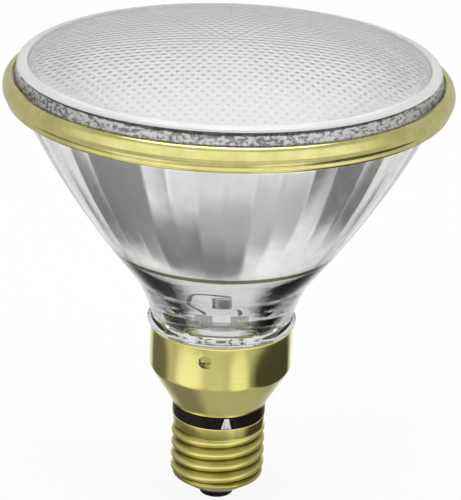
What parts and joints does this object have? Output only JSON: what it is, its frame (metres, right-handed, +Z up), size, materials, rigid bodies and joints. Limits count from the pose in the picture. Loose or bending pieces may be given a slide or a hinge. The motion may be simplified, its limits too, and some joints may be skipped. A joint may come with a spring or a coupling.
{
  "type": "halogen reflector bulb",
  "caption": "Reflector halogen bulb with a domed patterned lens, gold sealing ring, fluted silvered glass bowl and a skirted brass screw base.",
  "frame": {"origin": "middle of the flat face of the end contact, the lowest point of the bulb", "axes": "+Z up the bulb's axis from the end contact to the lens, -Y towards the side that shows the solder on the base"},
  "size_m": [0.1206, 0.1206, 0.1351],
  "materials": {
    "lens_glass": "clear pressed glass, dimpled",
    "reflector_glass": "clear glass, silvered inside",
    "gold_band": "bright rolled metal",
    "brass": "bright drawn brass",
    "black_insulator": "glossy black insulator",
    "solder": "bright solder",
    "nickel": "drawn nickel wire",
    "tungsten": "dark drawn wire",
    "quartz": "clear quartz",
    "cement": "matt cement"
  },
  "bodies": {
    "root": {"front_lens": "lens_glass", "reflector": "reflector_glass", "sealing_ring": "gold_band", "flange_seal": "cement", "capsule_envelope": "quartz", "filament": "tungsten", "filament_lead_long": "tungsten", "filament_lead_short": "tungsten", "foil_left": "nickel", "foil_right": "nickel", "capsule_lead_left": "nickel", "capsule_lead_right": "nickel", "ferrule_left": "nickel", "ferrule_right": "nickel", "centre_lead": "nickel", "side_lead": "nickel", "skirt": "brass", "insulating_ring": "black_insulator", "side_solder": "solder", "screw_shell": "brass", "base_insulator": "black_insulator", "contact_plate": "brass", "contact_solder": "solder"}
  },
  "joints": []
}
